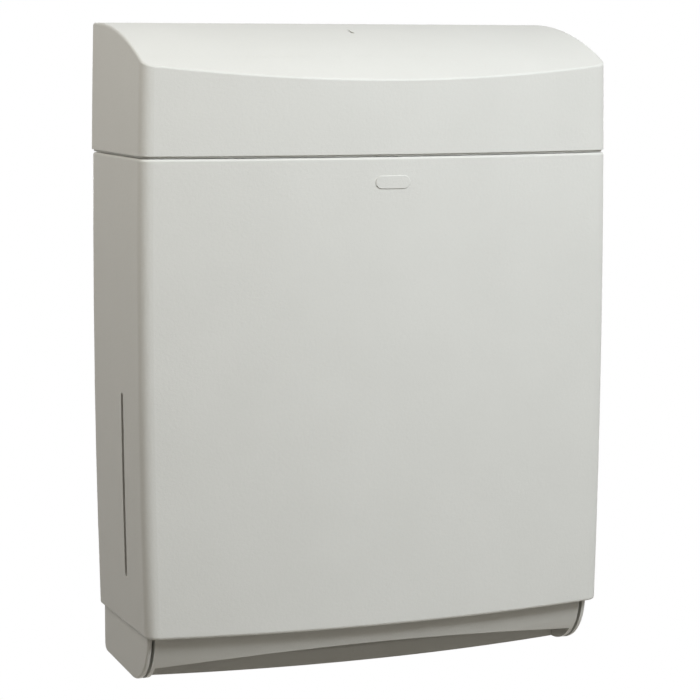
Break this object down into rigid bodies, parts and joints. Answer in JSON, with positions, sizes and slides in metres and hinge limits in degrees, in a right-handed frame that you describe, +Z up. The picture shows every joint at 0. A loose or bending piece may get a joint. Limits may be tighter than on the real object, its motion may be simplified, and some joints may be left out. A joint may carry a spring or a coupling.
{
  "type": "folded paper towel dispenser",
  "caption": "Wall-mounted, key-locked dispenser for folded paper towels: bowed door hinged at its bottom, fixed hood and a rounded tray whose arched lip frames the mouth.",
  "frame": {"origin": "centre of the rectangle of four wall-screw holes, on the wall plane at the back of the back plate", "axes": "+Z up, -Y out of the wall towards the user, +X to the right of someone who faces the dispenser; +Y points into the wall"},
  "size_m": [0.275, 0.1095, 0.359],
  "materials": {
    "shell_plastic": "fine matte moulded grain, light warm grey",
    "latch_plastic": "plain dark moulded plastic",
    "pin_steel": "turned",
    "spring_steel": "bright drawn wire",
    "screw_steel": "zinc plated"
  },
  "bodies": {
    "cabinet": {"back_plate": "shell_plastic", "cheek_left": "shell_plastic", "cheek_right": "shell_plastic", "tray": "shell_plastic", "hood": "shell_plastic", "latch_bracket": "latch_plastic", "hinge_pin_left": "pin_steel", "hinge_pin_right": "pin_steel", "latch_pin": "pin_steel", "latch_pin_clip": "spring_steel", "latch_spring": "spring_steel", "cheek_screws": "screw_steel", "tray_screws": "screw_steel", "hood_screws": "screw_steel", "latch_screws": "screw_steel"},
    "door": {"door": "shell_plastic"},
    "latch": {"latch_lever": "latch_plastic"}
  },
  "joints": [
    {"name": "door_hinge", "type": "hinge", "parent": "cabinet", "child": "door", "pos_m": [0, -0.01, -0.1445], "axis": [1, 0, 0], "range_deg": [0, 88]},
    {"name": "latch_pivot", "type": "hinge", "parent": "cabinet", "child": "latch", "pos_m": [0, -0.072, 0.118], "axis": [-1, 0, 0], "range_deg": [0, 16], "stiffness_Nm_per_rad": 0.06, "springref_deg": -8.59, "deforming": ["latch_spring"]}
  ]
}
